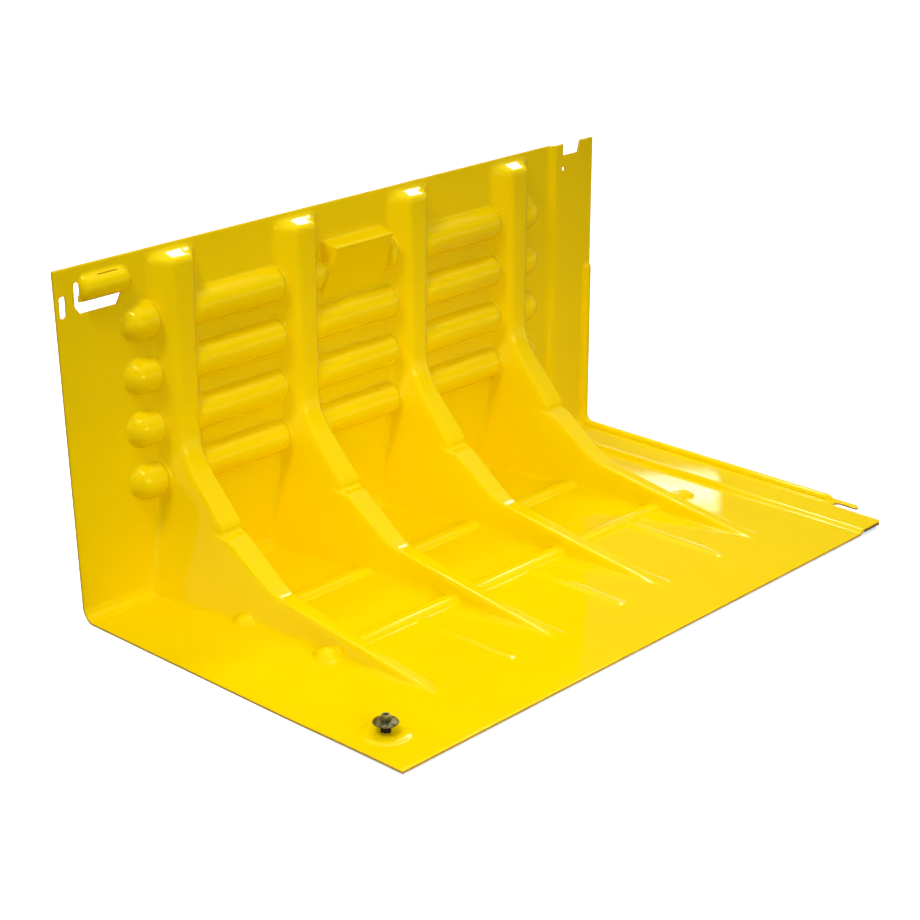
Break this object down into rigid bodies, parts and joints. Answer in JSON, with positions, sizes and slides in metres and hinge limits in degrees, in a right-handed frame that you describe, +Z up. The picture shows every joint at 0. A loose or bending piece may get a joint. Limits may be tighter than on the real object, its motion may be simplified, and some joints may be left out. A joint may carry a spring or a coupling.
{
  "type": "free-standing flood barrier box",
  "caption": "Free-standing L-shaped flood barrier box: ribbed plastic wall and base in one sheet, with foam seals, a lap joint and a locking stud",
  "frame": {"origin": "middle of the footprint's bounding box, on the ground", "axes": "+X along the wall, -Y towards the open front of the base, +Z up"},
  "size_m": [1.126, 0.648, 0.528],
  "materials": {
    "barrier_shell": "glossy yellow formed ABS sheet, fine grain",
    "front_seal": "black closed-cell foam",
    "base_lap_seal": "black closed-cell foam",
    "wall_lap_seal": "black closed-cell foam",
    "stud_bolt": "zinc-plated steel",
    "stud_backing_washer": "zinc-plated steel",
    "stud_neck": "black plastic bush",
    "stud_disc": "dark metallic disc",
    "stud_locknut": "zinc-plated steel",
    "stud_nut_insert": "dark nylon ring"
  },
  "bodies": {
    "root": {"barrier_shell": "barrier_shell", "front_seal": "front_seal", "base_lap_seal": "base_lap_seal", "wall_lap_seal": "wall_lap_seal", "stud_bolt": "stud_bolt", "stud_backing_washer": "stud_backing_washer", "stud_neck": "stud_neck", "stud_disc": "stud_disc", "stud_locknut": "stud_locknut", "stud_nut_insert": "stud_nut_insert"}
  },
  "joints": []
}
